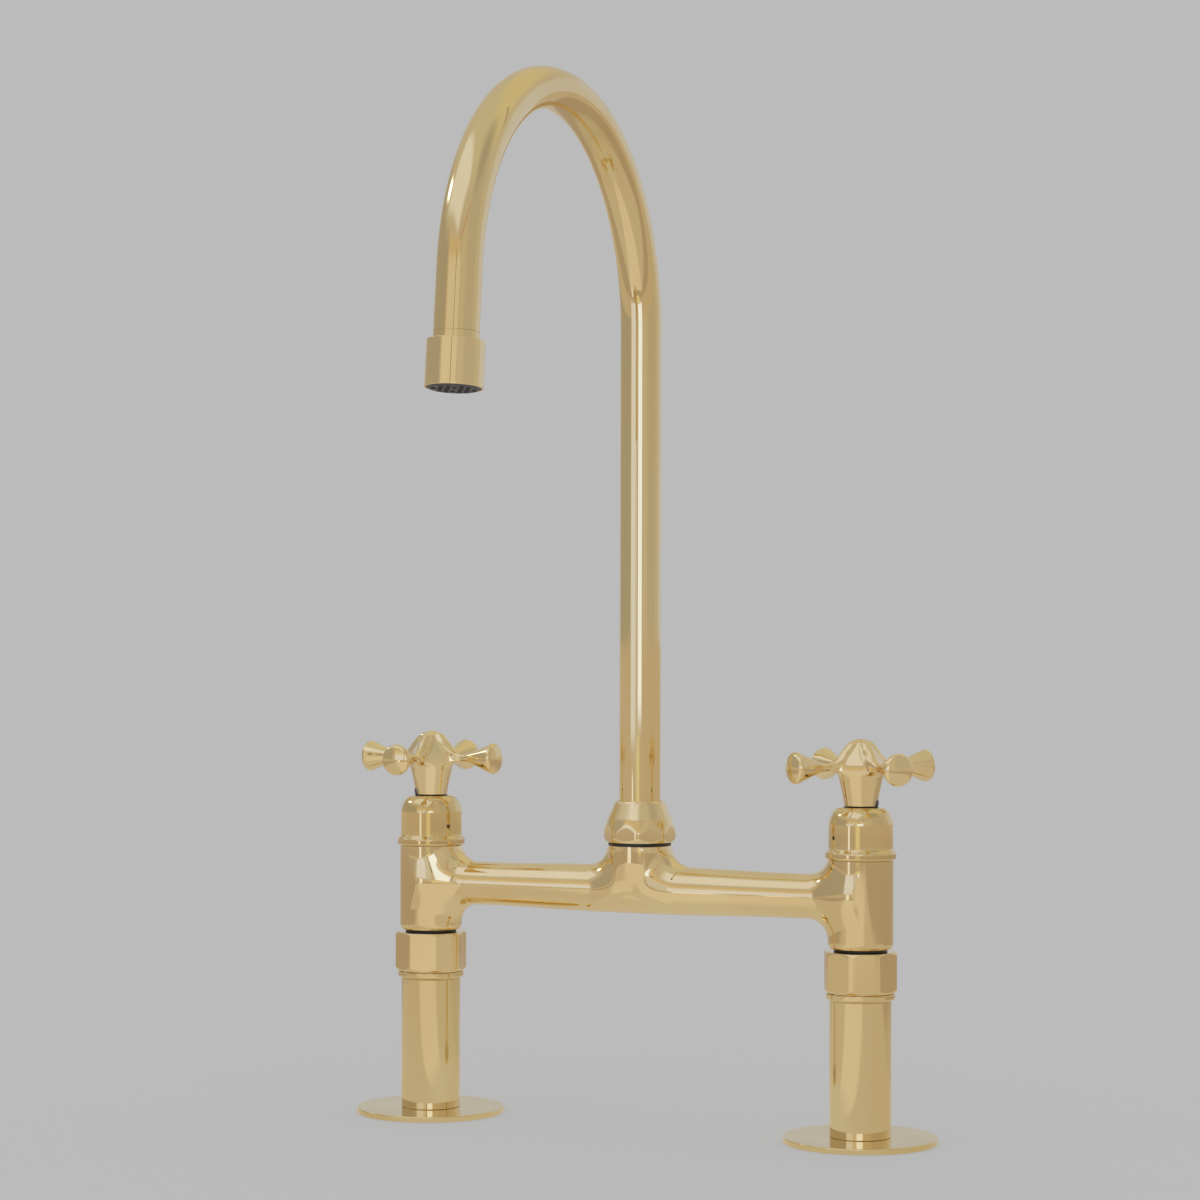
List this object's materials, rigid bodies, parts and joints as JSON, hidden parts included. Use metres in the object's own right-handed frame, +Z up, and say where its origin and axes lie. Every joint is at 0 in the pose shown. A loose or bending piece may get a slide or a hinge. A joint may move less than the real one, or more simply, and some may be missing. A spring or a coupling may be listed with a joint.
{
  "type": "bridge kitchen faucet",
  "caption": "Deck-mounted bridge tap: inlet columns joined by a cast bridge, a tall swan-neck spout that swivels on its middle, and quarter-turn cross handles",
  "frame": {"origin": "middle of the footprint at deck level: the middle of the bounding box, at the flanges' undersides", "axes": "+Z up the columns, +X along the bridge from the hot side to the cold side, the spout reaches towards -Y"},
  "size_m": [0.2703, 0.2325, 0.4482],
  "materials": {
    "polished_brass": "mirror-polished, unlacquered",
    "cast_brass": "polished casting, slightly rosier",
    "plain_brass": "turned, unpolished",
    "black_rubber": "moulded seal",
    "black_nylon": "moulded bearing ring",
    "white_ceramic": "lapped",
    "red_fibre": "pressed fibre",
    "dark_steel": "black-oxide",
    "grey_plastic": "moulded"
  },
  "bodies": {
    "frame": {"bridge_body": "cast_brass", "neck_ring": "black_rubber", "spout_nut": "cast_brass", "left_flange": "polished_brass", "left_deck_gasket": "black_rubber", "left_base_bush": "plain_brass", "left_leg_tube": "polished_brass", "left_leg_adaptor": "polished_brass", "left_union_nut": "cast_brass", "left_union_washer": "red_fibre", "left_barrel_tail": "plain_brass", "left_thread_ring": "black_rubber", "left_bonnet": "polished_brass", "left_cartridge_body": "plain_brass", "left_cartridge_seal": "black_rubber", "left_fixed_disc": "white_ceramic", "left_glide_ring": "black_nylon", "right_flange": "polished_brass", "right_deck_gasket": "black_rubber", "right_base_bush": "plain_brass", "right_leg_tube": "polished_brass", "right_leg_adaptor": "polished_brass", "right_union_nut": "cast_brass", "right_union_washer": "red_fibre", "right_barrel_tail": "plain_brass", "right_thread_ring": "black_rubber", "right_bonnet": "polished_brass", "right_cartridge_body": "plain_brass", "right_cartridge_seal": "black_rubber", "right_fixed_disc": "white_ceramic", "right_glide_ring": "black_nylon"},
    "spout": {"spout_tube": "polished_brass", "spout_ferrule": "plain_brass", "ferrule_seal_lower": "black_rubber", "ferrule_seal_upper": "black_rubber", "thrust_washer": "black_nylon", "spout_tip": "polished_brass", "aerator_shell": "cast_brass", "aerator_insert": "grey_plastic", "aerator_washer": "black_rubber"},
    "hot_handle": {"left_handle": "cast_brass", "left_grub_screw": "dark_steel", "left_spindle": "plain_brass", "left_spindle_seal": "black_rubber", "left_moving_disc": "white_ceramic"},
    "cold_handle": {"right_handle": "cast_brass", "right_grub_screw": "dark_steel", "right_spindle": "plain_brass", "right_spindle_seal": "black_rubber", "right_moving_disc": "white_ceramic"}
  },
  "joints": [
    {"name": "spout_swivel", "type": "hinge", "parent": "frame", "child": "spout", "pos_m": [0.0006, 0.0821, 0.1228], "axis": [0, 0, 1], "continuous": true},
    {"name": "hot_handle_turn", "type": "hinge", "parent": "frame", "child": "hot_handle", "pos_m": [-0.101, 0.0821, 0.1425], "axis": [0, 0, 1], "range_deg": [0, 90]},
    {"name": "cold_handle_turn", "type": "hinge", "parent": "frame", "child": "cold_handle", "pos_m": [0.1022, 0.0821, 0.1425], "axis": [0, 0, 1], "range_deg": [-90, 0]}
  ]
}
